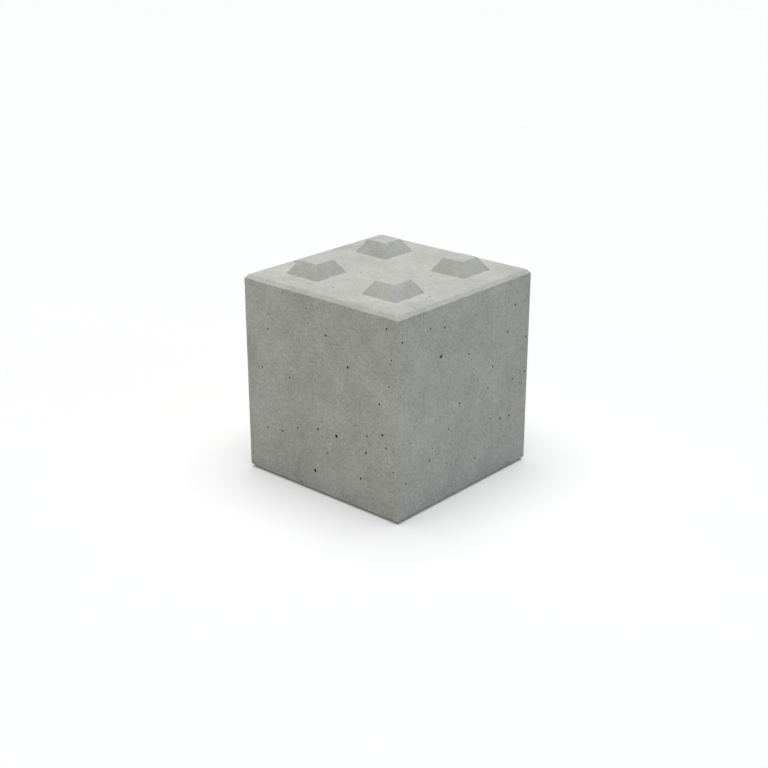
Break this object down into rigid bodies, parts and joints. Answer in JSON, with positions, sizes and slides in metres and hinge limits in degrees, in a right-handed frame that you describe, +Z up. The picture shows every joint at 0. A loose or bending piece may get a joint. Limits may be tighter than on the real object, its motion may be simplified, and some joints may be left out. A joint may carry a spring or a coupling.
{
  "type": "concrete stacking block",
  "caption": "Cast concrete cube-like block with pyramid studs on its top that key into pockets in the underside of the block above.",
  "frame": {"origin": "middle of the underside, in the plane that the block stands on", "axes": "+Z up through the middle of the block; X and Y run level, square to the upright faces; the block looks the same from each side"},
  "size_m": [0.6, 0.6, 0.66],
  "materials": {
    "concrete": "smooth grey cast concrete with fine sand grain, soft cloudy tone and small open blowholes, dry and matt"
  },
  "bodies": {
    "root": {"concrete_block": "concrete"}
  },
  "joints": []
}
